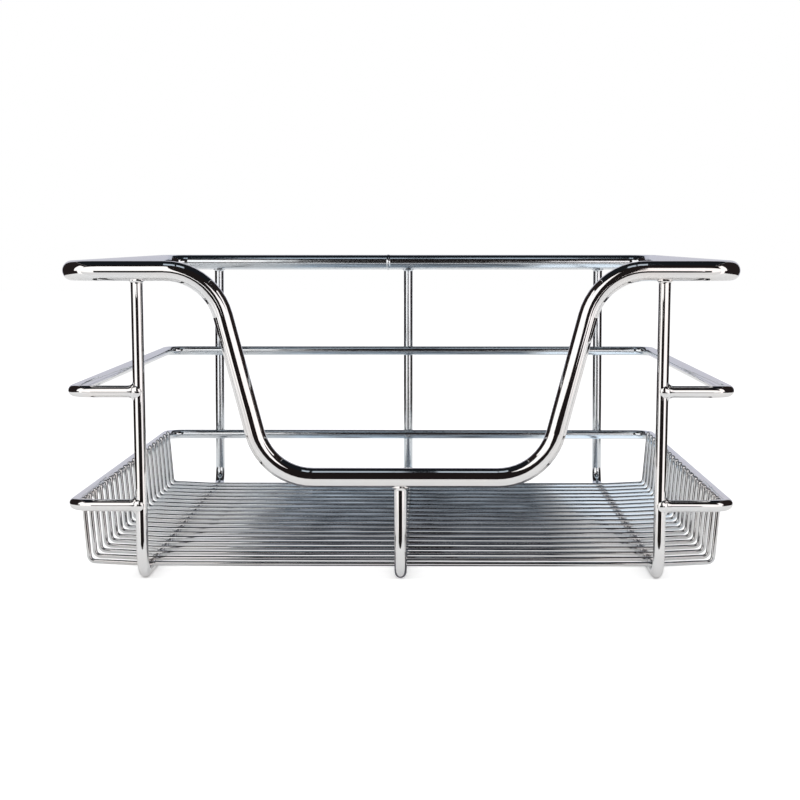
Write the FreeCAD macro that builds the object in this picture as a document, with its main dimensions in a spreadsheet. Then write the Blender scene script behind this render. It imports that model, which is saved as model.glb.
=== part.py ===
"""Pull-out wire basket: a welded assembly of one thick frame rod, two rims, three hoops and floor wires.

Millimetres, +Z up. The front with its dipped handle faces -Y, +X is to the right, and the origin is
on the ground under the middle of the basket, so the hoops' bottom runs rest on Z = 0.
"""

import FreeCAD, Part
import Sketcher
import math
import os

from FreeCAD import Placement, Rotation, Vector

document = FreeCAD.newDocument("wire_basket")

# Driving sizes

SIZES = {
    "width": 340,  # over the frame rod
    "depth": 430,
    "height": 160,
    "rod": 10,  # frame rod, diameter
    "wire": 6,  # rims and hoops, diameter
    "thin_wire": 2.4,  # floor wires, diameter
    "frame_corner": 15,  # bend radii are all measured to the middle of the wire
    "rim_inset": 3,  # how far the rims stand in from the frame rod's sides
    "rim_corner": 11,
    "middle_level": 95,  # axis heights above the ground
    "lower_level": 38,
    "handle_level": 52,
    "handle_top": 193,  # across the handle, where its legs would cross the frame rod's axis
    "handle_bottom": 138,  # the same at its low bar
    "handle_bend": 30,
    "handle_offset": 2.5,  # how far the dip stands to the right of the middle
    "hoop_inset": 41.2,  # from the basket's sides to the middle of a side hoop
    "hoop_bend": 12,
    "leg_splay": 0.8,  # degrees that a side hoop's front leg leans outward
    "floor_wires": 20,  # how many
    "floor_back_margin": 42,  # from the last floor wire to the back of the basket
    "floor_rise": 1.2,  # the floor wires spring up past the side hoops
    "floor_kink": 40,
    "floor_corner": 3,
    "floor_draft": 5.2,  # degrees that the floor wires' ends lean outward
    "floor_end": 1.5,  # how far the ends stand over the lower rim's axis
    "cross_sink": 0.3,  # how deep a weld sinks one wire into another where they cross
    "butt_sink": 0.8,  # and where an end is welded against a wire's side
    "seam_offset": 13.5,  # the frame rod's closing weld, left of the middle of the back
    "seam_width": 2.4,
    "seam_bulge": 0.3,
}

sheet = document.addObject("Spreadsheet::Sheet", "sizes")
for row, (alias, value) in enumerate(SIZES.items(), start=1):
    sheet.set(f"A{row}", alias)
    sheet.set(f"B{row}", str(value))
    sheet.setAlias(f"B{row}", alias)
document.recompute()

# Places worked out from the sizes, as expressions on the sheet

FRONT = "(sizes.rod / 2 - sizes.depth / 2)"
BACK = "(sizes.depth / 2 - sizes.rod / 2)"
FRAME_SIDE = "(sizes.width / 2 - sizes.rod / 2)"
FRAME_LEVEL = "(sizes.height - sizes.rod / 2)"
RIM_SIDE = "(sizes.width / 2 - sizes.rim_inset - sizes.wire / 2)"
RIM_BACK = f"({BACK} - sizes.wire + sizes.cross_sink)"
HOOP_SIDE = "(sizes.width / 2 - sizes.hoop_inset)"
CROSSING = "(sizes.wire / 2 + sizes.thin_wire / 2 - sizes.cross_sink)"
FLOOR_LEVEL = f"(sizes.wire / 2 + {CROSSING})"
FLOOR_FRONT = f"({FRONT} + sizes.hoop_bend + sizes.thin_wire / 2)"
FLOOR_BACK = "(sizes.depth / 2 - sizes.floor_back_margin)"
FLOOR_PITCH = f"(({FLOOR_BACK} - {FLOOR_FRONT}) / (sizes.floor_wires - 1))"
ROD_END = "(sizes.rod / 2 - sizes.butt_sink)"
WIRE_END = "(sizes.wire / 2 - sizes.butt_sink)"


def size(expression):
    """The present value of an expression on the sheet."""
    return float(sheet.evalExpression(expression))


def leg_place(level):
    """How far from the middle a side hoop's leaning front leg stands at a height."""
    return f"({HOOP_SIDE} + ({level} - sizes.wire / 2) * tan(sizes.leg_splay * 1deg))"


# Tools for bent wire

PLANES = {"XY": "XY_Plane", "XZ": "XZ_Plane", "YZ": "YZ_Plane"}


def new_body(name):
    return document.addObject("PartDesign::Body", name)


def place(piece, **expressions):
    """Binds a piece's place along x, y or z to the sheet."""
    for axis, expression in expressions.items():
        piece.setExpression(f"Placement.Base.{axis}", expression)


def origin_plane(body, plane):
    for feature in body.Origin.OriginFeatures:
        if feature.Role == PLANES[plane]:
            return feature
    raise ValueError(f"no plane {plane}")


def new_sketch(body, plane, name):
    sketch = body.newObject("Sketcher::SketchObject", name)
    sketch.AttachmentSupport = [(origin_plane(body, plane), "")]
    sketch.MapMode = "FlatFace"
    return sketch


def bind(sketch, constraint, expression):
    """Adds a constraint with a value that follows the sheet."""
    index = sketch.addConstraint(Sketcher.Constraint(*constraint, size(expression)))
    sketch.setExpression(f"Constraints[{index}]", expression)


def circle_sketch(body, plane, name, circles):
    """A sketch of circles, each given as the two places of its middle and its diameter."""
    sketch = new_sketch(body, plane, name)
    for across, up, diameter in circles:
        centre = Vector(size(across), size(up), 0)
        index = sketch.addGeometry(Part.Circle(centre, Vector(0, 0, 1), size(diameter) / 2))
        bind(sketch, ("DistanceX", index, 3), across)
        bind(sketch, ("DistanceY", index, 3), up)
        bind(sketch, ("Diameter", index), diameter)
    return sketch


def route_sketch(body, plane, name, corners, bends):
    """The middle line of a bent wire: straight runs between the corners, joined by tangent arcs.

    The corners lie on guide lines, and each inner one is rounded by its own bend radius.
    """
    sketch = new_sketch(body, plane, name)
    points = [Vector(size(across), size(up), 0) for across, up in corners]
    guides = []
    for start, end in zip(points, points[1:]):
        guides.append(sketch.addGeometry(Part.LineSegment(start, end), True))
    for guide, (across, up) in zip(guides, corners):
        bind(sketch, ("DistanceX", guide, 1), across)
        bind(sketch, ("DistanceY", guide, 1), up)
    bind(sketch, ("DistanceX", guides[-1], 2), corners[-1][0])
    bind(sketch, ("DistanceY", guides[-1], 2), corners[-1][1])
    for guide, following in zip(guides, guides[1:]):
        sketch.addConstraint(Sketcher.Constraint("Coincident", guide, 2, following, 1))

    arcs = []
    for before, corner, after, bend in zip(points, points[1:], points[2:], bends):
        arcs.append(corner_arc(before, corner, after, size(bend)))
    starts = [points[0]] + [arc.EndPoint if turn > 0 else arc.StartPoint for arc, turn in arcs]
    ends = [arc.StartPoint if turn > 0 else arc.EndPoint for arc, turn in arcs] + [points[-1]]
    runs = []
    for start, end, guide in zip(starts, ends, guides):
        run = sketch.addGeometry(Part.LineSegment(start, end), False)
        runs.append(run)
        if guide != guides[0]:
            sketch.addConstraint(Sketcher.Constraint("PointOnObject", run, 1, guide))
        if guide != guides[-1]:
            sketch.addConstraint(Sketcher.Constraint("PointOnObject", run, 2, guide))
    sketch.addConstraint(Sketcher.Constraint("Coincident", runs[0], 1, guides[0], 1))
    sketch.addConstraint(Sketcher.Constraint("Coincident", runs[-1], 2, guides[-1], 2))
    for run, following, (arc, turn), bend in zip(runs, runs[1:], arcs, bends):
        index = sketch.addGeometry(arc, False)
        first, last = (1, 2) if turn > 0 else (2, 1)
        sketch.addConstraint(Sketcher.Constraint("Tangent", run, 2, index, first))
        sketch.addConstraint(Sketcher.Constraint("Tangent", index, last, following, 1))
        bind(sketch, ("Radius", index), bend)
    return sketch


def corner_arc(before, corner, after, radius):
    """The arc that rounds a corner, and which way the route turns there: 1 left, -1 right."""
    incoming = (corner - before).normalize()
    outgoing = (after - corner).normalize()
    turn = 1 if incoming.cross(outgoing).z > 0 else -1
    angle = incoming.getAngle(outgoing)
    left = Vector(-incoming.y, incoming.x, 0)
    middle = corner - incoming * (radius * math.tan(angle / 2)) + left * (turn * radius)
    circle = Part.Circle(middle, Vector(0, 0, 1), radius)
    heading = math.atan2(incoming.y, incoming.x) - turn * math.pi / 2
    if turn > 0:
        return Part.ArcOfCircle(circle, heading, heading + angle), turn
    return Part.ArcOfCircle(circle, heading - angle, heading), turn


def pipe(body, name, profile, route):
    """Sweeps a wire's round section along its route."""
    document.recompute()
    sweep = body.newObject("PartDesign::AdditivePipe", name)
    sweep.Profile = profile
    sweep.Spine = (route, [f"Edge{i}" for i in range(1, len(route.Shape.Edges) + 1)])
    return sweep


def mirror(body, name, features):
    """Repeats the right half of a wire on the left."""
    document.recompute()
    mirrored = body.newObject("PartDesign::Mirrored", name)
    mirrored.Originals = features
    mirrored.MirrorPlane = (origin_plane(body, "YZ"), [""])
    body.Tip = mirrored
    return mirrored


def cut(name, base, tool):
    """A wire with the seats that its welds sink into its neighbours."""
    piece = document.addObject("Part::Cut", name)
    piece.Base = base
    piece.Tool = tool
    return piece


# The frame rod: a level loop that dips into the handle at the front


def top_frame():
    body = new_body("top_frame")
    join = f"({FRAME_SIDE} - sizes.frame_corner - sizes.rod / 2)"
    bar = f"(sizes.handle_level - {FRAME_LEVEL})"
    loop = [
        ("0", BACK),
        (FRAME_SIDE, BACK),
        (FRAME_SIDE, FRONT),
        (join, FRONT),
    ]
    loop_profile = circle_sketch(body, "YZ", "frame_back_section", [(BACK, "0", "sizes.rod")])
    loop_route = route_sketch(body, "XY", "frame_loop_route", loop, ["sizes.frame_corner"] * 2)
    half_loop = pipe(body, "frame_half_loop", loop_profile, loop_route)
    mirror(body, "frame_other_half_loop", [half_loop])
    dip_profile = circle_sketch(body, "YZ", "handle_section", [(FRONT, bar, "sizes.rod")])
    for half, side in (("left", -1), ("right", 1)):
        dip = [
            ("0", bar),
            (f"sizes.handle_offset + sizes.handle_bottom / 2 * {side}", bar),
            (f"sizes.handle_offset + sizes.handle_top / 2 * {side}", "0"),
            (f"{join} * {side}", "0"),
        ]
        dip_route = route_sketch(body, "XZ", f"{half}_dip_route", dip, ["sizes.handle_bend"] * 2)
        dip_route.setExpression("AttachmentOffset.Base.z", f"-{FRONT}")
        pipe(body, f"{half}_half_handle", dip_profile, dip_route)
    frame_seam(body)
    place(body, z=FRAME_LEVEL)
    return body


def frame_seam(body):
    """The low bulge where the rod's two ends are welded together at the back.

    Its section reaches half way into the rod, so that the turned bulge and the rod are one solid.
    """
    core = "sizes.rod / 4"
    sketch = new_sketch(body, "XY", "seam_section")
    sketch.setExpression("AttachmentOffset.Base.x", "-sizes.seam_offset")
    sketch.setExpression("AttachmentOffset.Base.y", BACK)
    half = size("sizes.seam_width / 2")
    inside = size(core)
    surface = size("sizes.rod / 2")
    crown = surface + size("sizes.seam_bulge")
    arc = sketch.addGeometry(
        Part.Arc(Vector(half, surface, 0), Vector(0, crown, 0), Vector(-half, surface, 0)), False
    )
    left = sketch.addGeometry(
        Part.LineSegment(Vector(-half, surface, 0), Vector(-half, inside, 0)), False
    )
    floor = sketch.addGeometry(
        Part.LineSegment(Vector(-half, inside, 0), Vector(half, inside, 0)), False
    )
    right = sketch.addGeometry(
        Part.LineSegment(Vector(half, inside, 0), Vector(half, surface, 0)), False
    )
    for first, second in ((left, floor), (floor, right)):
        sketch.addConstraint(Sketcher.Constraint("Coincident", first, 2, second, 1))
    sketch.addConstraint(Sketcher.Constraint("Coincident", right, 2, arc, 1))
    sketch.addConstraint(Sketcher.Constraint("Coincident", arc, 2, left, 1))
    for line in (left, right):
        sketch.addConstraint(Sketcher.Constraint("Vertical", line))
    sketch.addConstraint(Sketcher.Constraint("Horizontal", floor))
    sketch.addConstraint(Sketcher.Constraint("Symmetric", arc, 1, arc, 2, -2))
    bind(sketch, ("DistanceY", floor, 1), core)
    bind(sketch, ("DistanceY", right, 2), "sizes.rod / 2")
    bind(sketch, ("DistanceX", right, 2), "sizes.seam_width / 2")
    bulge_radius = (
        "((sizes.seam_width / 2) ^ 2 + sizes.seam_bulge ^ 2) / (2 * sizes.seam_bulge)"
    )
    bind(sketch, ("Radius", arc), bulge_radius)
    document.recompute()
    seam = body.newObject("PartDesign::Revolution", "frame_seam")
    seam.Profile = sketch
    seam.ReferenceAxis = (sketch, ["H_Axis"])
    seam.Angle = 360
    body.Tip = seam


# The hoops: a front leg, a level run under the floor and a back leg each


def hoop(name, side, front_top):
    """A hoop that hangs from the frame rod. Its side is -1, 0 or 1, and 0 has no lean."""
    body = new_body(name + "_wire")
    front_leg = [
        ("0", "0"),
        (FRONT, "0"),
        (FRONT, f"({front_top} - {ROD_END} - sizes.wire / 2) / cos(sizes.leg_splay * {abs(side)}deg)"),
    ]
    back_leg = [
        ("0", "0"),
        (BACK, "0"),
        (BACK, f"{FRAME_LEVEL} - {ROD_END} - sizes.wire / 2"),
    ]
    section = circle_sketch(body, "XZ", name + "_section", [("0", "0", "sizes.wire")])
    front_route = route_sketch(body, "YZ", name + "_front_route", front_leg, ["sizes.hoop_bend"])
    outward = Vector(side or 1, 0, 0)
    front_route.AttachmentOffset = Placement(Vector(), Rotation(outward, 0))
    front_route.setExpression("AttachmentOffset.Rotation.Angle", f"sizes.leg_splay * {abs(side)}deg")
    back_route = route_sketch(body, "YZ", name + "_back_route", back_leg, ["sizes.hoop_bend"])
    pipe(body, name + "_front_half", section, front_route)
    pipe(body, name + "_back_half", section, back_route)
    place(body, x=f"{HOOP_SIDE} * {side}", z="sizes.wire / 2")
    return body


# The rims: open at the front, where their ends butt against the side hoops' legs


def rim(name, level):
    body = new_body(name + "_wire")
    stub_end = f"({leg_place(level)} + {WIRE_END})"
    corners = [
        ("0", RIM_BACK),
        (RIM_SIDE, RIM_BACK),
        (RIM_SIDE, FRONT),
        (stub_end, FRONT),
    ]
    section = circle_sketch(body, "YZ", name + "_section", [(RIM_BACK, "0", "sizes.wire")])
    route = route_sketch(body, "XY", name + "_route", corners, ["sizes.rim_corner"] * 2)
    half = pipe(body, name + "_half", section, route)
    mirror(body, name + "_other_half", [half])
    place(body, z=level)
    return body


# The floor wires: laid across the hoops, with their ends turned up inside the lower rim


def first_floor_wire(name):
    body = new_body(name)
    lean = "tan(sizes.floor_draft * 1deg)"
    rim_up = f"(sizes.lower_level - {FLOOR_LEVEL})"
    beside_rim = f"({RIM_SIDE} - {CROSSING} / cos(sizes.floor_draft * 1deg))"
    corners = [
        ("0", "0"),
        (f"{HOOP_SIDE} + sizes.wire / 2", "0"),
        (f"{beside_rim} - ({rim_up} - sizes.floor_rise) * {lean}", "sizes.floor_rise"),
        (f"{beside_rim} + sizes.floor_end * {lean}", f"{rim_up} + sizes.floor_end"),
    ]
    section = circle_sketch(body, "YZ", name + "_section", [("0", "0", "sizes.thin_wire")])
    bends = ["sizes.floor_kink", "sizes.floor_corner"]
    route = route_sketch(body, "XZ", name + "_route", corners, bends)
    half = pipe(body, name + "_half", section, route)
    mirror(body, name + "_other_half", [half])
    seats = [("0", f"-{CROSSING}", "sizes.wire")]
    for side in (-1, 1):
        seats.append((f"{HOOP_SIDE} * {side}", f"-{CROSSING}", "sizes.wire"))
        seats.append((f"{RIM_SIDE} * {side}", rim_up, "sizes.wire"))
    seat_sketch = circle_sketch(body, "XZ", name + "_seat_sections", seats)
    right_through = "sizes.thin_wire * 2"
    document.recompute()
    seat = body.newObject("PartDesign::Pocket", name + "_seats")
    seat.Profile = seat_sketch
    seat.SideType = "Symmetric"
    seat.setExpression("Length", right_through)
    body.Tip = seat
    place(body, y=FLOOR_FRONT, z=FLOOR_LEVEL)
    return body


def further_floor_wire(name, first, place_along):
    """A copy of the first floor wire, further back."""
    body = new_body(name)
    copy = document.addObject("PartDesign::FeatureBase", name + "_copy")
    copy.BaseFeature = first
    body.Group = [copy]
    body.Tip = copy
    place(body, y=place_along, z=FLOOR_LEVEL)
    return body


# Assembly

frame = top_frame()
hoop_wires = {
    "left_hoop": hoop("left_hoop", -1, FRAME_LEVEL),
    "centre_hoop": hoop("centre_hoop", 0, "sizes.handle_level"),
    "right_hoop": hoop("right_hoop", 1, FRAME_LEVEL),
}
pieces = [frame]
for name, wire in hoop_wires.items():
    pieces.append(cut(name, wire, frame))
all_hoops = document.addObject("Part::Compound", "all_hoops")
all_hoops.Links = list(hoop_wires.values())
for name, level in (("middle_rim", "sizes.middle_level"), ("lower_rim", "sizes.lower_level")):
    pieces.append(cut(name, rim(name, level), all_hoops))

first_wire = first_floor_wire("floor_wire_01")
pieces.append(first_wire)
for number in range(2, round(size("sizes.floor_wires")) + 1):
    along = f"{FLOOR_FRONT} + {FLOOR_PITCH} * {number - 1}"
    pieces.append(further_floor_wire(f"floor_wire_{number:02d}", first_wire, along))

document.recompute()

# Checks and files

for item in document.Objects:
    if "Invalid" in item.State or "Error" in item.State:
        raise RuntimeError(f"{item.Label} did not rebuild: {item.State}")
for piece in pieces:
    if piece.Shape.isNull() or not piece.Shape.isValid() or len(piece.Shape.Solids) != 1:
        raise RuntimeError(f"{piece.Label} is not one sound solid")

os.makedirs("parts", exist_ok=True)
for piece in pieces:
    piece.Shape.exportStep(f"parts/{piece.Label}.step")
    box = piece.Shape.BoundBox
    print(
        f"{piece.Label}: {piece.Shape.Volume:.1f} mm3,"
        f" x {box.XMin:.2f} {box.XMax:.2f}, y {box.YMin:.2f} {box.YMax:.2f},"
        f" z {box.ZMin:.2f} {box.ZMax:.2f}"
    )
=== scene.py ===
"""Looks of a pull-out wire basket: bright chrome on every wire, the welds between them and a white studio.

Metres, +Z up. The front with its dipped handle faces -Y, and the basket stands on Z = 0.
"""

import math

import bpy
from mathutils import Matrix, Vector


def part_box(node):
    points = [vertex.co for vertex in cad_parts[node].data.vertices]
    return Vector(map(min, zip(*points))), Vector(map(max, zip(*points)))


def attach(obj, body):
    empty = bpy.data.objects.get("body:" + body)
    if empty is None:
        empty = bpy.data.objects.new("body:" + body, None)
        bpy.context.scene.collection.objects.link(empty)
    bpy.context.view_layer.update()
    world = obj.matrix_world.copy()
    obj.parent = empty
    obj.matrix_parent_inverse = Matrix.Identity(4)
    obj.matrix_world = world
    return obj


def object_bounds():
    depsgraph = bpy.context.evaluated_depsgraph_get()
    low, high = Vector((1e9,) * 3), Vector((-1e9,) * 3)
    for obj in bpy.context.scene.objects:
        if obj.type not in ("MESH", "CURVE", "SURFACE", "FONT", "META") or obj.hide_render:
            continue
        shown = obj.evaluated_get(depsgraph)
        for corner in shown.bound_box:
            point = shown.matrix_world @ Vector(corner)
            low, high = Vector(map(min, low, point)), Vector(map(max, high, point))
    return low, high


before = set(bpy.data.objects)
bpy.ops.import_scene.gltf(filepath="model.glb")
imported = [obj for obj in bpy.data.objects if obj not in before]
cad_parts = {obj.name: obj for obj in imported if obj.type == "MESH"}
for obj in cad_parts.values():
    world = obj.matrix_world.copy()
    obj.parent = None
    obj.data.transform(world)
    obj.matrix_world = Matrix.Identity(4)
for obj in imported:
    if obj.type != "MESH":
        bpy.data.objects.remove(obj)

bl_info = {
    "name": "Wire Basket Looks",
    "version": (1, 0, 0),
    "blender": (4, 5, 0),
    "location": "View3D > Sidebar > Basket",
    "description": "Chrome, welds and a white studio for a pull-out wire basket",
    "category": "Object",
}

CAD_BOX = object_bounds()
HOOPS = ("left_hoop", "centre_hoop", "right_hoop")
RIMS = ("middle_rim", "lower_rim")
FLOOR_WIRES = sorted(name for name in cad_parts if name.startswith("floor_wire"))
ALONG = Vector((1, 0, 0))
BACKWARD = Vector((0, 1, 0))
UP = Vector((0, 0, 1))
SKIN = 0.00002  # by which a weld stands proud of its wire where it fades out

# Places that the frame gives


def middle(node):
    """The middle of a node's box."""
    low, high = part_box(node)
    return (low + high) / 2


def wire_radius():
    """Of the rims, which lie level, so their height is their diameter."""
    low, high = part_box("lower_rim")
    return (high.z - low.z) / 2


def thin_radius():
    low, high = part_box(FLOOR_WIRES[0])
    return (high.y - low.y) / 2


def front_line():
    """How far forward the axes of the hoops' front legs stand."""
    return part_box("left_hoop")[0].y + wire_radius()


def back_line():
    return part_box("left_hoop")[1].y - wire_radius()


def rod_radius():
    """Of the frame rod, which stands out further than the legs welded under its middle."""
    return front_line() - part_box("top_frame")[0].y


def rod_level():
    """The height of the frame rod's axis. Its front half has no closing weld to stand proud."""
    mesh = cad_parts["top_frame"].data
    return max(vertex.co.z for vertex in mesh.vertices if vertex.co.y < 0) - rod_radius()


def handle_level():
    """The height of the handle's low bar."""
    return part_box("top_frame")[0].z + rod_radius()


def rim_level(rim):
    return middle(rim).z


def hoop_run_x(hoop):
    """Where a hoop's level run lies. Its front leg leans outward from there."""
    low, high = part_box(hoop)
    if hoop == "left_hoop":
        return high.x - wire_radius()
    if hoop == "right_hoop":
        return low.x + wire_radius()
    return middle(hoop).x


def front_leg_x(hoop, height):
    """Where a hoop's front leg stands at a height."""
    low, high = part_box(hoop)
    run = hoop_run_x(hoop)
    if hoop == "centre_hoop":
        return run
    top = low.x + wire_radius() if hoop == "left_hoop" else high.x - wire_radius()
    share = (height - wire_radius()) / (high.z - wire_radius())
    return run + (top - run) * share


# Tools for modelling

SHARPEST_BEND = math.radians(50)  # a weld's faces that meet at less than this shade as one
NUGGET_PROFILE = ((-1, 0.55), (-0.6, 0.86), (0, 1), (0.6, 0.86), (1, 0.55))  # heights and widths


def deselect():
    bpy.ops.object.select_all(action="DESELECT")


def named(name):
    """Names the new active object and its mesh."""
    piece = bpy.context.object
    piece.name = name
    piece.data.name = name
    return piece


def turned_rings(name, direction, up, rings, sides):
    """A closed round shape, extruded ring by ring from the origin along a direction.

    Each ring is how far along it lies, and its half widths across and up.
    """
    deselect()
    first_along, first_across, first_up = rings[0]
    bpy.ops.mesh.primitive_circle_add(vertices=sides, radius=1, fill_type="NGON")
    piece = named(name)
    bpy.ops.object.mode_set(mode="EDIT")
    bpy.ops.transform.resize(value=(first_across, first_up, 1))
    along, wide, high = first_along, first_across, first_up
    for next_along, next_wide, next_high in rings[1:]:
        bpy.ops.mesh.extrude_region_move(
            TRANSFORM_OT_translate={"value": (0, 0, next_along - along)}
        )
        bpy.ops.transform.resize(value=(next_wide / wide, next_high / high, 1))
        along, wide, high = next_along, next_wide, next_high
    bpy.ops.mesh.select_all(action="SELECT")
    bpy.ops.mesh.normals_make_consistent(inside=False)
    bpy.ops.object.mode_set(mode="OBJECT")
    across = up.cross(direction)
    piece.data.transform(Matrix.Translation((0, 0, first_along)))
    piece.data.transform(Matrix((across, up, direction)).transposed().to_4x4())
    bpy.ops.object.shade_smooth_by_angle(angle=SHARPEST_BEND)
    return piece


def fillet_rings(radius, reach, flare_across, flare_up, steps=6):
    """Rings that swell from a wire's side into what it is welded to, as a quarter of an ellipse."""
    rings = []
    for step in range(steps + 1):
        share = step / steps
        swell = 1 - math.sqrt(1 - share ** 2)
        rings.append((reach * (share - 1), radius + flare_across * swell, radius + flare_up * swell))
    return rings


def dome_rings(radius, base, top, steps=7):
    """A dome from a base to a top, both measured from where it starts, and a little higher than wide."""
    rings = []
    height_to_width = 1.12
    last_turn = math.radians(88)  # short of a right angle, so that the last ring keeps a width
    for step in range(steps + 1):
        turn = last_turn * step / steps
        wide = radius * math.cos(turn)
        rings.append((base + (top - base) * math.sin(turn), wide, wide * height_to_width))
    return rings


def nugget_rings(radius, half_height):
    """A melted drop between two crossing wires, widest where they touch."""
    return [
        (height * half_height, width * radius, width * radius) for height, width in NUGGET_PROFILE
    ]


def tip_rings(radius, foot, steps=5):
    """The rounded end of a cut wire, on a foot that reaches down over the wire."""
    outside = radius * 1.005  # just round the wire
    rings = [(-0.3 * radius - foot, outside, outside)]
    last_turn = math.radians(85)  # short of a right angle, as in the dome
    for step in range(steps + 1):
        turn = last_turn * step / steps
        wide = radius * math.cos(turn)
        rings.append((radius * math.sin(turn), wide, wide))
    return rings


def repeated(master, places):
    """Copies of a shape, each with its own mesh and moved to its place. The shape itself goes."""
    copies = []
    for number, place in enumerate(places):
        copy = master.copy()
        copy.data = master.data.copy()
        copy.name = f"{master.name}_{number}"
        copy.data.name = copy.name
        bpy.context.scene.collection.objects.link(copy)
        copy.data.transform(Matrix.Translation(place))
        copies.append(copy)
    bpy.data.objects.remove(master)
    return copies


def joined(pieces, name):
    """Several like shapes as one piece."""
    deselect()
    for piece in pieces:
        piece.select_set(True)
    bpy.context.view_layer.objects.active = pieces[0]
    bpy.ops.object.join()
    return named(name)


def finished(welds, name):
    """Joins new welds as one piece, gives it its finish and lets it ride with the basket."""
    piece = joined(welds, name)
    piece.data.materials.clear()
    piece.data.materials.append(bpy.data.materials["chrome_weld"])
    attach(piece, "root")


# Tools for shader trees


def feed(tree, node, values):
    """Gives a node's sockets, by label or number, a plain value each or what comes out of another node."""
    for key, value in values.items():
        if isinstance(value, bpy.types.NodeSocket):
            tree.links.new(value, node.inputs[key])
        else:
            node.inputs[key].default_value = value


def added(tree, kind, values, **settings):
    """A new node with its settings and its sockets' values."""
    node = tree.nodes.new(kind)
    for name, setting in settings.items():
        setattr(node, name, setting)
    feed(tree, node, values)
    return node


def object_place(tree):
    """Where a point lies, which Object coordinates give in metres."""
    return added(tree, "ShaderNodeTexCoord", {}).outputs["Object"]


def along_axis(tree, place, axis):
    """How far along one axis a place lies."""
    return added(tree, "ShaderNodeSeparateXYZ", {"Vector": place}).outputs[axis]


def clouded(tree, place, scale, detail, roughness=0.5):
    """Soft noise round a half."""
    values = {"Vector": place, "Scale": scale, "Detail": detail, "Roughness": roughness}
    return added(tree, "ShaderNodeTexNoise", values).outputs["Fac"]


def ranged(tree, value, start, end, low=0, high=1, easing="LINEAR"):
    """A low number up to a start, a high one from an end, and a rise between."""
    values = {"Value": value, "From Min": start, "From Max": end, "To Min": low, "To Max": high}
    return added(tree, "ShaderNodeMapRange", values, interpolation_type=easing).outputs["Result"]


def faded(tree, value, start, end):
    """0 at a start, 1 at an end and smooth between."""
    return ranged(tree, value, start, end, easing="SMOOTHSTEP")


def reckoned(tree, operation, *values):
    """The result of a sum."""
    return added(tree, "ShaderNodeMath", dict(enumerate(values)), operation=operation).outputs["Value"]


def mixed(tree, blend, factor, first, second):
    """Two colours mixed by a factor."""
    values = {0: factor, 6: first, 7: second}
    return added(tree, "ShaderNodeMix", values, data_type="RGBA", blend_type=blend).outputs[2]


def new_material(name, values):
    """A material with plain values on its shader."""
    material = bpy.data.materials.new(name)
    material.use_nodes = True
    feed(material.node_tree, material.node_tree.nodes["Principled BSDF"], values)
    return material


# Finishes

# How fine the waves in the plating are, as a noise scale for each finish
ROD_WAVES = 55
WIRE_WAVES = 70
THIN_WAVES = 90
WELD_WAVES = 420
THIN_STRETCH = (0.3, 1, 0.3)  # the floor wires' waves are long along the wire and up its ends
THIN_SHADE_SHARES = (0.94, 0.78)  # painted shade: the cool and the warm tint are darker on the floor wires, which lie close together over the dim table

CLOUDS = (0.45, 0.75)  # the haze's noise, where it is clear and where it is cloudy
SPECKS = (0.66, 0.78)  # the dust's noise, where it is clean and where it is dusty
DULLING = (-0.15, 0.21, 0, 1.6)  # from a place in front to one behind, and how much duller
PAINTED_TINT_DRIFT = (0.2, -0.2, -0.25, 0.25)  # painted reflection tint: from a place behind to one in front, and how much warmer the chrome turns


def new_group(name, inputs, outputs):
    """An empty shader group with its sockets, each a name, a kind and, for inputs, a default."""
    group = bpy.data.node_groups.new(name, "ShaderNodeTree")
    for label, kind, default in inputs:
        socket = group.interface.new_socket(label, in_out="INPUT", socket_type=kind)
        socket.default_value = default
    for label, kind in outputs:
        group.interface.new_socket(label, in_out="OUTPUT", socket_type=kind)
    group.nodes.new("NodeGroupInput")
    group.nodes.new("NodeGroupOutput")
    return group


def plating_group():
    """Uneven plating: slow waves of the drawn wire, cloudy haze, fine dust and a drift of tint.

    From the front to the back it turns from warm to cool, which is a painted reflection tint, and a little
    duller, as in the photograph.
    """
    known = bpy.data.node_groups.get("plating")
    if known:
        return known
    group = new_group(
        "plating",
        [
            ("Wave Scale", "NodeSocketFloat", 60.0),
            ("Wave Stretch", "NodeSocketVector", (1, 1, 1)),
            ("Haze Scale", "NodeSocketFloat", 35.0),
            ("Dust Scale", "NodeSocketFloat", 1400.0),
            ("Roughness", "NodeSocketFloat", 0.04),
            ("Haze", "NodeSocketFloat", 0.06),
            ("Cool Tint", "NodeSocketColor", (0.76, 0.79, 0.82, 1)),
            ("Warm Tint", "NodeSocketColor", (0.82, 0.80, 0.77, 1)),
        ],
        [
            ("Color", "NodeSocketColor"),
            ("Roughness", "NodeSocketFloat"),
            ("Height", "NodeSocketFloat"),
        ],
    )
    source = group.nodes["Group Input"].outputs
    place = object_place(group)
    back = along_axis(group, place, "Y")
    values = {0: place, 1: source["Wave Stretch"]}
    stretched = added(group, "ShaderNodeVectorMath", values, operation="MULTIPLY").outputs["Vector"]
    waves = clouded(group, stretched, source["Wave Scale"], detail=1.5, roughness=0.4)
    clouds = clouded(group, place, source["Haze Scale"], detail=4)
    dust = clouded(group, place, source["Dust Scale"], detail=2)

    dull = reckoned(group, "ADD", ranged(group, clouds, *CLOUDS), ranged(group, dust, *SPECKS))
    dull = reckoned(group, "ADD", dull, ranged(group, back, *DULLING))
    roughness = reckoned(group, "MULTIPLY_ADD", dull, source["Haze"], source["Roughness"])

    # random warm and cool patches, plus a painted reflection tint that is cooler behind
    warmth_and_painted_drift = reckoned(group, "ADD", clouds, ranged(group, back, *PAINTED_TINT_DRIFT))
    tint = mixed(group, "MIX", warmth_and_painted_drift, source["Cool Tint"], source["Warm Tint"])
    results = {"Color": tint, "Roughness": roughness, "Height": waves}
    feed(group, group.nodes["Group Output"], results)
    return group


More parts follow.
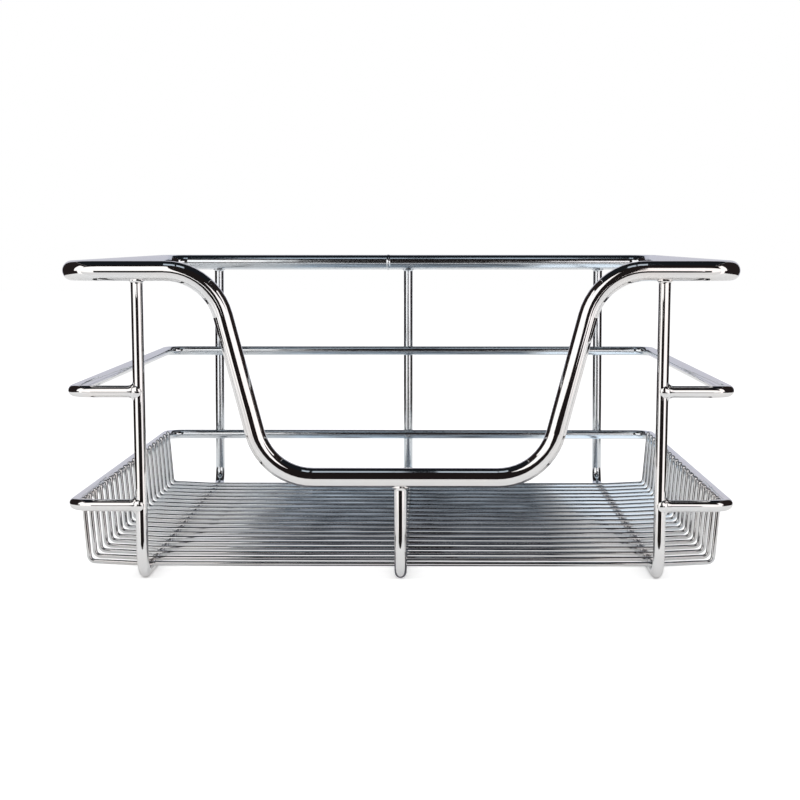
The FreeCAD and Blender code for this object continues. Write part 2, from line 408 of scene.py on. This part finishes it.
def chrome(name, roughness, haze, wave_scale, wave_depth, cool, warm, stretch=(1, 1, 1)):
    """Bright chrome plating over steel wire. The less the stretch, the longer the waves along an axis."""
    material = new_material(name, {"Metallic": 1})
    tree = material.node_tree
    values = {
        "Wave Scale": wave_scale,
        "Wave Stretch": stretch,
        "Roughness": roughness,
        "Haze": haze,
        "Cool Tint": (*cool, 1),
        "Warm Tint": (*warm, 1),
    }
    plating = added(tree, "ShaderNodeGroup", values, node_tree=plating_group()).outputs
    values = {"Strength": 1, "Distance": wave_depth, "Height": plating["Height"]}
    bump = added(tree, "ShaderNodeBump", values).outputs["Normal"]
    values = {"Base Color": plating["Color"], "Roughness": plating["Roughness"], "Normal": bump}
    feed(tree, tree.nodes["Principled BSDF"], values)
    return material


# The studio

FLOOR_LIFT = 0.38  # what the floor shines to the camera alone, so that it looks white
FAR = 6  # how far the floor goes, in metres
WORLD_LIGHT = 0.8  # the world's strength on what is neither seen nor mirrored

SOFTBOXES = {
    "left_softbox": (-1.1, -0.9, 0.55),
    "right_softbox": (1.1, -0.9, 0.55),
}
SOFTBOX_SIZE = 1.1
SOFTBOX_POWER = 6
SOFTBOX_TARGET = Vector((0, 0, 0.08))

CEILING = (0.010, 0.012, 0.015)
SLATE = (0.52, 0.60, 0.68)
GLOOM = (0.014, 0.011, 0.011)
DUSK = (0.020, 0.015, 0.015)
# the painted pool of light on the table shade
PAINTED_LIT_PATCH = (1.05, 1.15, 1.25)
PEARL = (0.60, 0.60, 0.67)
PAPER = (0.85, 0.84, 0.84)
LEFT_LAMP = (1.3, 1.27, 1.25)
RIGHT_LAMP = (1.3, 1.23, 1.22)

CARDS = {
    # name: two opposite corners of a card that is flat along one axis, and what it shines
    "ceiling_card": ((-1.2, -0.89, 1.74), (1.2, 2.0, 1.74), CEILING),
    "left_ceiling_glow": ((-0.25, -0.88, 1.73), (-0.02, -0.28, 1.73), SLATE),
    "right_ceiling_glow": ((0.025, -0.88, 1.73), (0.24, -0.28, 1.73), SLATE),
    "front_card": ((-1.2, -0.89, -1.0), (1.2, -0.89, 1.74), GLOOM),
    "left_panel": ((-1.2, -0.88, 0.17), (-0.16, -0.88, 0.95), LEFT_LAMP),
    "left_middle_panel": ((-1.2, -0.88, 0.125), (-0.1, -0.88, 0.17), LEFT_LAMP),
    "left_low_panel": ((-1.2, -0.88, -0.09), (-0.42, -0.88, 0.125), LEFT_LAMP),
    "right_panel": ((0.17, -0.88, 0.13), (1.2, -0.88, 0.56), RIGHT_LAMP),
    "right_middle_panel": ((0.23, -0.88, 0.04), (1.2, -0.88, 0.13), RIGHT_LAMP),
    "right_low_panel": ((0.5, -0.88, -0.09), (1.2, -0.88, 0.04), RIGHT_LAMP),
    "front_paper": ((-1.2, -0.88, -1.0), (1.2, -0.88, -0.09), PAPER),
    "pit_card": ((-1.2, -0.89, -1.0), (1.2, 2.0, -1.0), PAPER),
    "left_wall": ((-1.2, -0.89, 0.2), (-1.2, -0.38, 1.2), LEFT_LAMP),
    "left_low_wall": ((-1.2, -0.89, -1.0), (-1.2, -0.6, 0.2), LEFT_LAMP),
    "right_wall": ((1.2, -0.89, 0.2), (1.2, -0.45, 1.2), RIGHT_LAMP),
    "right_low_wall": ((1.2, -0.89, -1.0), (1.2, -0.6, 0.2), RIGHT_LAMP),
    "left_side_card": ((-1.21, -0.89, -1.0), (-1.21, 2.0, 1.74), DUSK),
    "right_side_card": ((1.21, -0.89, -1.0), (1.21, 2.0, 1.74), DUSK),
    "back_card": ((-1.2, 2.0, -1.0), (1.2, 2.0, 1.74), PEARL),
}

SHADE_ACROSS = (
    # place across the table, how dense the shade is there, and how much of its colour it shows
    (-0.112, 0.0, 1.0),
    (-0.072, 1.0, 1.0),
    (-0.03, 1.0, 0.9),
    (0.02, 1.0, 0.62),
    (0.08, 1.0, 0.62),
    (0.104, 0.0, 0.62),
)
SHADE_FRONT = (0.12, 0.115, 0.13)  # its colours in front and behind
SHADE_BACK = (0.44, 0.52, 0.60)
SHADE_START = 0.012  # behind the basket's front
SHADE_HEIGHT = 0.0002  # above the table
SHADE_SCALE = 34  # of the noise in it
SHADE_DETAIL = 3
BLOTCHES = (0.4, 0.62, 0.4, 1.45)  # the noise from dark to bright, and how bright the shade is there

LIT_SLANT = 0.09  # how far to the left the lit patch's edge goes with each metre back
LIT_WOBBLE = 0.04  # how far the noise moves that edge
LIT_ACROSS = (0.118, 0.136)  # the edge, from shade to light
LIT_BACK = (-0.16, 0.02)  # how the light comes up from the front to the back


def white_floor_material(color):
    """Looks white to the camera, and keeps the basket's soft shadow."""
    values = {
        "Base Color": (*color, 1),
        "Roughness": 0.9,
        "Specular IOR Level": 0,
        "Emission Color": (1, 1, 1, 1),
    }
    material = new_material("studio_floor", values)
    tree = material.node_tree
    path = added(tree, "ShaderNodeLightPath", {}).outputs
    lift = reckoned(tree, "MULTIPLY", path["Is Camera Ray"], FLOOR_LIFT)
    feed(tree, tree.nodes["Principled BSDF"], {"Emission Strength": lift})
    return material


def level_plane(name, left, right, front, back):
    """A level rectangle on the ground."""
    deselect()
    bpy.ops.mesh.primitive_plane_add(size=1)
    plane = named(name)
    plane.data.transform(Matrix.Diagonal((right - left, back - front, 1, 1)))
    plane.data.transform(Matrix.Translation(((left + right) / 2, (front + back) / 2, 0)))
    return plane


def white_floors(material, half_width, front, back):
    """A table under the basket, and a wide floor level with it that chrome doesn't mirror.

    The chrome sees past the table's edges into the dark, which gives each wire its dark lines.
    """
    table = level_plane("studio_table", -half_width, half_width, front, back)
    strips = [
        level_plane("floor_front", -FAR, FAR, -FAR, front),
        level_plane("floor_back", -FAR, FAR, back, FAR),
        level_plane("floor_left", -FAR, -half_width, front, back),
        level_plane("floor_right", half_width, FAR, front, back),
    ]
    floor = joined(strips, "studio_floor")
    floor.visible_glossy = False
    for piece in (table, floor):
        piece.data.materials.append(material)


def white_world():
    """Plain white all round, at full strength for the camera and for chrome."""
    world = bpy.data.worlds.new("studio_world")
    bpy.context.scene.world = world
    world.use_nodes = True
    tree = world.node_tree
    path = added(tree, "ShaderNodeLightPath", {}).outputs
    seen = reckoned(tree, "MAXIMUM", path["Is Camera Ray"], path["Is Glossy Ray"])
    values = {"Color": (1, 1, 1, 1), "Strength": ranged(tree, seen, 0, 1, WORLD_LIGHT, 1)}
    feed(tree, tree.nodes["Background"], values)


def glowing_material(name, shine):
    """Shines by itself and mirrors nothing."""
    values = {
        "Base Color": (0, 0, 0, 1),
        "Specular IOR Level": 0,
        "Emission Color": (*shine, 1),
        "Emission Strength": 1,
    }
    return new_material(name, values)


def only_in_chrome(card):
    """Hides a card from the camera, the lamps and the floor."""
    card.visible_camera = False
    card.visible_diffuse = False
    card.visible_shadow = False
    card.visible_transmission = False


def reflector_cards():
    """Cards out of view, seen only in the chrome, where they draw its dark and its white lines."""
    quarter = math.radians(90)
    turns = {0: (0, quarter, 0), 1: (quarter, 0, 0), 2: (0, 0, 0)}  # by the axis that a card is flat along
    for name, (low, high, shine) in CARDS.items():
        low, high = Vector(low), Vector(high)
        flat = min(range(3), key=lambda axis: high[axis] - low[axis])
        deselect()
        bpy.ops.mesh.primitive_plane_add(size=1, rotation=turns[flat])
        card = named(name)
        bpy.ops.object.transform_apply(location=True, rotation=True, scale=True)
        size = high - low
        size[flat] = 1
        card.data.transform(Matrix.Diagonal((*size, 1)))
        card.data.transform(Matrix.Translation((low + high) / 2))
        card.data.materials.append(glowing_material(name, shine))
        only_in_chrome(card)


def shade_ramp(tree, position, column):
    """One column of the shade's table, as a ramp over the table from the basket's left to its right."""
    low, high = CAD_BOX
    ramp = added(tree, "ShaderNodeValToRGB", {"Fac": position})
    elements = ramp.color_ramp.elements
    while len(elements) < len(SHADE_ACROSS):
        elements.new(0.5)
    for element, row in zip(elements, SHADE_ACROSS):
        element.position = (row[0] - low.x) / (high.x - low.x)
        element.color = (row[column], row[column], row[column], 1)
    return ramp.outputs["Color"]


def shade_under_basket():
    """The dim table under the close floor wires: dark in front, bluer behind, faded at the sides.

    Behind on the right, a painted pool of light brightens it.
    """
    low, high = CAD_BOX
    card = level_plane("table_shade", low.x, high.x, low.y + SHADE_START, high.y)
    card.data.transform(Matrix.Translation(UP * SHADE_HEIGHT))
    material = glowing_material("table_shade", SHADE_FRONT)
    tree = material.node_tree
    place = object_place(tree)
    across = along_axis(tree, place, "X")
    back = along_axis(tree, place, "Y")
    noise = clouded(tree, place, SHADE_SCALE, SHADE_DETAIL)

    position = ranged(tree, across, low.x, high.x)
    density, strength = (shade_ramp(tree, position, column) for column in (1, 2))
    depth = ranged(tree, back, low.y, high.y)
    shade = mixed(tree, "MIX", depth, (*SHADE_FRONT, 1), (*SHADE_BACK, 1))
    shade = mixed(tree, "MULTIPLY", 1, shade, strength)
    shade = mixed(tree, "MULTIPLY", 1, shade, ranged(tree, noise, *BLOTCHES))

    # a painted pool of light behind on the right, with a ragged edge
    edge = reckoned(tree, "MULTIPLY_ADD", back, LIT_SLANT, across)
    edge = reckoned(tree, "MULTIPLY_ADD", noise, LIT_WOBBLE, edge)
    lit = reckoned(tree, "MULTIPLY", faded(tree, edge, *LIT_ACROSS), faded(tree, back, *LIT_BACK))
    values = {
        "Emission Color": mixed(tree, "MIX", lit, shade, (*PAINTED_LIT_PATCH, 1)),
        "Alpha": reckoned(tree, "MAXIMUM", density, lit),
    }
    feed(tree, tree.nodes["Principled BSDF"], values)
    card.data.materials.append(material)
    only_in_chrome(card)


def softboxes():
    """Two square lamps in front, which chrome doesn't mirror."""
    for name, place in SOFTBOXES.items():
        data = bpy.data.lights.new(name, "AREA")
        data.shape = "SQUARE"
        data.size = SOFTBOX_SIZE
        data.energy = SOFTBOX_POWER
        lamp = bpy.data.objects.new(name, data)
        bpy.context.scene.collection.objects.link(lamp)
        lamp.location = place
        lamp.rotation_euler = (Vector(place) - SOFTBOX_TARGET).to_track_quat("Z", "Y").to_euler()
        lamp.visible_camera = False
        lamp.visible_glossy = False


# Settings


class ChromeSettings(bpy.types.PropertyGroup):
    """How the plating looks"""

    cool_tint: bpy.props.FloatVectorProperty(
        name="Cool tint",
        description="Chrome where the plating looks bluish",
        subtype="COLOR",
        size=3,
        default=(0.74, 0.795, 0.84),
        min=0,
        max=1,
    )
    warm_tint: bpy.props.FloatVectorProperty(
        name="Warm tint",
        description="Chrome where the plating looks creamy",
        subtype="COLOR",
        size=3,
        default=(0.85, 0.82, 0.80),
        min=0,
        max=1,
    )
    roughness: bpy.props.FloatProperty(
        name="Roughness",
        description="Of clean plating",
        default=0.03,
        min=0,
        max=1,
    )
    haze: bpy.props.FloatProperty(
        name="Haze",
        description="Roughness that cloudy patches and dust add",
        default=0.05,
        min=0,
        max=1,
    )
    wave_depth: bpy.props.FloatProperty(
        name="Wave depth",
        description="How deep the slow waves in the drawn wire are",
        default=0.0001,
        unit="LENGTH",
    )
    thin_wave_depth: bpy.props.FloatProperty(
        name="Thin wave depth",
        description="The same in the thin floor wires, which are drawn less true",
        default=0.0004,
        unit="LENGTH",
    )
    weld_roughness: bpy.props.FloatProperty(
        name="Weld roughness",
        description="Of the plating over the welds, which aren't polished",
        default=0.1,
        min=0,
        max=1,
    )
    weld_depth: bpy.props.FloatProperty(
        name="Weld unevenness",
        description="How deep the ripples in the welds are",
        default=0.00012,
        unit="LENGTH",
    )


class WeldSettings(bpy.types.PropertyGroup):
    """How large the welds are"""

    stub_reach: bpy.props.FloatProperty(
        name="Rim weld reach",
        description="How far the weld at a rim's end runs out along the rim",
        default=0.0027,
        unit="LENGTH",
    )
    stub_flare: bpy.props.FloatProperty(
        name="Rim weld flare",
        description="How far the same weld runs up and down the leg",
        default=0.0019,
        unit="LENGTH",
    )
    button_radius: bpy.props.FloatProperty(
        name="Button radius",
        description="Of the drop that bulges over the leg where a rim's end is welded to it",
        default=0.0029,
        unit="LENGTH",
    )
    button_height: bpy.props.FloatProperty(
        name="Button height",
        description="How far that drop stands out in front of the leg",
        default=0.0008,
        unit="LENGTH",
    )
    button_offset: bpy.props.FloatProperty(
        name="Button offset",
        description="How far that drop sits toward the rim from the leg's middle",
        default=0.0012,
        unit="LENGTH",
    )
    leg_reach: bpy.props.FloatProperty(
        name="Leg weld reach",
        description="How far the weld at a leg's top runs down the leg",
        default=0.0014,
        unit="LENGTH",
    )
    leg_flare: bpy.props.FloatProperty(
        name="Leg weld flare",
        description="How far the same weld runs along the rod",
        default=0.0012,
        unit="LENGTH",
    )
    rail_nugget: bpy.props.FloatProperty(
        name="Rail nugget",
        description="Radius of the welds where the back rails cross the back legs",
        default=0.0027,
        unit="LENGTH",
    )
    floor_nugget: bpy.props.FloatProperty(
        name="Floor nugget",
        description="Radius of the welds under the floor wires and at their ends",
        default=0.0013,
        unit="LENGTH",
    )
    tip_rise: bpy.props.FloatProperty(
        name="Tip rise",
        description="How much higher the floor wires' ends reach at the back than at the front",
        default=0.0018,
        unit="LENGTH",
    )
    floor_draft: bpy.props.FloatProperty(
        name="Floor draft",
        description="How far the turned-up ends of the floor wires lean outward",
        default=math.radians(5.2),
        subtype="ANGLE",
        unit="ROTATION",
    )


class StudioSettings(bpy.types.PropertyGroup):
    """Where the camera and the table stand"""

    camera_place: bpy.props.FloatVectorProperty(
        name="Camera place",
        description="Where the camera stands",
        subtype="TRANSLATION",
        size=3,
        default=(0.0144, -1.3294, 0.1705),
        unit="LENGTH",
    )
    camera_yaw: bpy.props.FloatProperty(
        name="Camera yaw",
        description="How far the camera turns to the left",
        default=math.radians(0.745),
        subtype="ANGLE",
        unit="ROTATION",
    )
    camera_pitch: bpy.props.FloatProperty(
        name="Camera pitch",
        description="How far the camera looks down",
        default=math.radians(4.07),
        subtype="ANGLE",
        unit="ROTATION",
    )
    lens: bpy.props.FloatProperty(
        name="Lens",
        description="Focal length on a 36 mm sensor, in millimetres",
        default=101.6,
    )
    table_half_width: bpy.props.FloatProperty(
        name="Table half width",
        description="How far the table that the chrome mirrors reaches to each side",
        default=0.5,
        unit="LENGTH",
    )
    table_front: bpy.props.FloatProperty(
        name="Table front",
        description="Where its front edge lies",
        default=-0.335,
        unit="LENGTH",
    )
    table_back: bpy.props.FloatProperty(
        name="Table back",
        description="Where its back edge lies",
        default=1.0,
        unit="LENGTH",
    )
    floor_color: bpy.props.FloatVectorProperty(
        name="Floor",
        description="Colour of the studio floor",
        subtype="COLOR",
        size=3,
        default=(0.9, 0.9, 0.9),
        min=0,
        max=1,
    )


# Operators


class BASKET_OT_plate_wires(bpy.types.Operator):
    """Give every rod and wire its chrome plating"""

    bl_idname = "basket.plate_wires"
    bl_label = "Plate the wires"

    def execute(self, context):
        look = context.scene.basket_chrome
        plain = (look.roughness, look.haze)
        tints = (look.cool_tint, look.warm_tint)
        thin_waves = (THIN_WAVES, look.thin_wave_depth)
        # the floor wires get darker tints as painted shade
        shaded_thin_tints = (tint * share for tint, share in zip(tints, THIN_SHADE_SHARES))
        finishes = {
            "frame_rod": chrome("chrome_rod", *plain, ROD_WAVES, look.wave_depth, *tints),
            "frame_wire": chrome("chrome_wire", *plain, WIRE_WAVES, look.wave_depth, *tints),
            "floor_wire": chrome("shaded_chrome_thin_wire", *plain, *thin_waves, *shaded_thin_tints, THIN_STRETCH),
        }
        chrome("chrome_weld", look.weld_roughness, look.haze, WELD_WAVES, look.weld_depth, *tints)
        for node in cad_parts.values():
            for material_slot in node.material_slots:
                kind = material_slot.material.name.split(".")[0]
                material_slot.material = finishes[kind]
        return {"FINISHED"}


class BASKET_OT_weld_rim_ends(bpy.types.Operator):
    """Weld the rims' front ends to the outer sides of the side hoops' legs"""

    bl_idname = "basket.weld_rim_ends"
    bl_label = "Weld the rim ends"

    def execute(self, context):
        look = context.scene.basket_welds
        radius = wire_radius()
        fillet = fillet_rings(radius + SKIN, look.stub_reach, 0, look.stub_flare)
        root_in_leg = (radius * 0.5, radius * 0.8, radius + look.stub_flare)  # the last, hidden ring
        drop = dome_rings(look.button_radius, radius * 0.7, radius + look.button_height)
        levels = [rim_level(rim) for rim in RIMS]
        welds, button_places = [], []
        for hoop, inward in (("left_hoop", ALONG), ("right_hoop", -ALONG)):
            legs = [Vector((front_leg_x(hoop, level), front_line(), level)) for level in levels]
            stub = turned_rings("rim_end", inward, UP, [*fillet, root_in_leg], sides=32)
            welds += repeated(stub, [leg - inward * radius for leg in legs])
            button_places += [leg - inward * look.button_offset for leg in legs]
        button = turned_rings("button", -BACKWARD, UP, drop, sides=32)
        welds += repeated(button, button_places)
        finished(welds, "rim_end_welds")
        return {"FINISHED"}


class BASKET_OT_weld_leg_tops(bpy.types.Operator):
    """Weld the tops of the legs to the underside of the frame rod and of the handle"""

    bl_idname = "basket.weld_leg_tops"
    bl_label = "Weld the leg tops"

    def execute(self, context):
        look = context.scene.basket_welds
        radius = wire_radius()
        flare = look.leg_flare
        flare_across = flare * 0.25  # the rod falls away there
        fillet = fillet_rings(radius + SKIN, look.leg_reach, flare_across, flare)
        root_in_rod = (rod_radius() * 0.3, radius * 0.9, radius + flare * 0.7)  # the last, hidden ring
        under_rod = rod_level() - rod_radius()
        under_handle = handle_level() - rod_radius()
        tops = []
        for hoop in HOOPS:
            level = under_handle if hoop == "centre_hoop" else under_rod
            tops.append((front_leg_x(hoop, level), front_line(), level))
            tops.append((hoop_run_x(hoop), back_line(), under_rod))
        weld = turned_rings("leg_top", UP, ALONG, [*fillet, root_in_rod], sides=32)
        finished(repeated(weld, tops), "leg_top_welds")
        return {"FINISHED"}


class BASKET_OT_weld_back_rails(bpy.types.Operator):
    """Weld the rims' back rails to the back legs that they cross"""

    bl_idname = "basket.weld_back_rails"
    bl_label = "Weld the back rails"

    def execute(self, context):
        radius = wire_radius()
        touch = (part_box("lower_rim")[1].y - radius + back_line()) / 2
        drop = nugget_rings(context.scene.basket_welds.rail_nugget, radius * 0.5)
        nugget = turned_rings("rail_nugget", BACKWARD, UP, drop, sides=20)
        places = [(hoop_run_x(hoop), touch, rim_level(rim)) for rim in RIMS for hoop in HOOPS]
        finished(repeated(nugget, places), "back_rail_welds")
        return {"FINISHED"}


class BASKET_OT_weld_floor(bpy.types.Operator):
    """Weld the floor wires to the hoops that they cross and to the lower rim, and round their ends"""

    bl_idname = "basket.weld_floor"
    bl_label = "Weld the floor wires"

    def execute(self, context):
        look = context.scene.basket_welds
        thin = thin_radius()
        thick = wire_radius()
        lean = look.floor_draft
        rows = [middle(wire).y for wire in FLOOR_WIRES]
        low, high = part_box(FLOOR_WIRES[0])
        end_x = high.x - thin * math.cos(lean)
        end_z = high.z - thin * math.sin(lean)
        drop = nugget_rings(look.floor_nugget, thin * 0.5)

        crossing = turned_rings("crossing", UP, ALONG, drop, sides=10)
        height = (low.z + thin + thick) / 2
        places = [(hoop_run_x(hoop), row, height) for row in rows for hoop in HOOPS]
        finished(repeated(crossing, places), "floor_crossing_welds")

        tips = []
        for side in (-1, 1):
            direction = Vector((side * math.sin(lean), 0, math.cos(lean)))
            tip = turned_rings("tip", direction, BACKWARD, tip_rings(thin, look.tip_rise), sides=16)
            places = []
            for row in rows:
                rise = look.tip_rise * (row - rows[0]) / (rows[-1] - rows[0])
                places.append(Vector((side * end_x, row, end_z)) + direction * rise)
            tips += repeated(tip, places)
        finished(tips, "floor_wire_tips")

        beside = turned_rings("beside", ALONG, UP, drop, sides=10)
        rim_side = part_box("lower_rim")[1].x - thick * 2
        touch = (rim_side + end_x + thin) / 2
        places = [(side * touch, row, rim_level("lower_rim")) for row in rows for side in (-1, 1)]
        finished(repeated(beside, places), "floor_end_welds")
        return {"FINISHED"}


class BASKET_OT_build_studio(bpy.types.Operator):
    """Set up the floor, the lights, the reflector cards and the camera"""

    bl_idname = "basket.build_studio"
    bl_label = "Build the studio"

    def execute(self, context):
        scene = context.scene
        look = scene.basket_studio
        material = white_floor_material(look.floor_color)
        white_floors(material, look.table_half_width, look.table_front, look.table_back)
        white_world()
        reflector_cards()
        shade_under_basket()
        softboxes()
        camera = bpy.data.objects.new("camera", bpy.data.cameras.new("camera"))
        scene.collection.objects.link(camera)
        camera.location = look.camera_place
        camera.rotation_euler = (math.radians(90) - look.camera_pitch, 0, look.camera_yaw)
        camera.data.lens = look.lens
        scene.camera = camera
        scene.view_settings.view_transform = "Standard"
        return {"FINISHED"}


class BASKET_PT_looks(bpy.types.Panel):
    """Everything that dresses the basket"""

    bl_idname = "BASKET_PT_looks"
    bl_label = "Wire basket"
    bl_space_type = "VIEW_3D"
    bl_region_type = "UI"
    bl_category = "Basket"

    def draw(self, context):
        layout = self.layout
        for settings in SETTINGS:
            group = getattr(context.scene, settings)
            for name in group.__annotations__:
                layout.prop(group, name)
        for operator in OPERATORS:
            layout.operator(operator.bl_idname)


SETTINGS = {
    "basket_chrome": ChromeSettings,
    "basket_welds": WeldSettings,
    "basket_studio": StudioSettings,
}
OPERATORS = (
    BASKET_OT_plate_wires,
    BASKET_OT_weld_rim_ends,
    BASKET_OT_weld_leg_tops,
    BASKET_OT_weld_back_rails,
    BASKET_OT_weld_floor,
    BASKET_OT_build_studio,
)


def register():
    for name, group in SETTINGS.items():
        bpy.utils.register_class(group)
        setattr(bpy.types.Scene, name, bpy.props.PointerProperty(type=group))
    for operator in OPERATORS:
        bpy.utils.register_class(operator)
    bpy.utils.register_class(BASKET_PT_looks)


def unregister():
    bpy.utils.unregister_class(BASKET_PT_looks)
    for operator in reversed(OPERATORS):
        bpy.utils.unregister_class(operator)
    for name, group in SETTINGS.items():
        delattr(bpy.types.Scene, name)
        bpy.utils.unregister_class(group)


def main():
    register()
    bpy.ops.basket.plate_wires()
    bpy.ops.basket.weld_rim_ends()
    bpy.ops.basket.weld_leg_tops()
    bpy.ops.basket.weld_back_rails()
    bpy.ops.basket.weld_floor()
    bpy.ops.basket.build_studio()


if __name__ == "__main__":
    main()
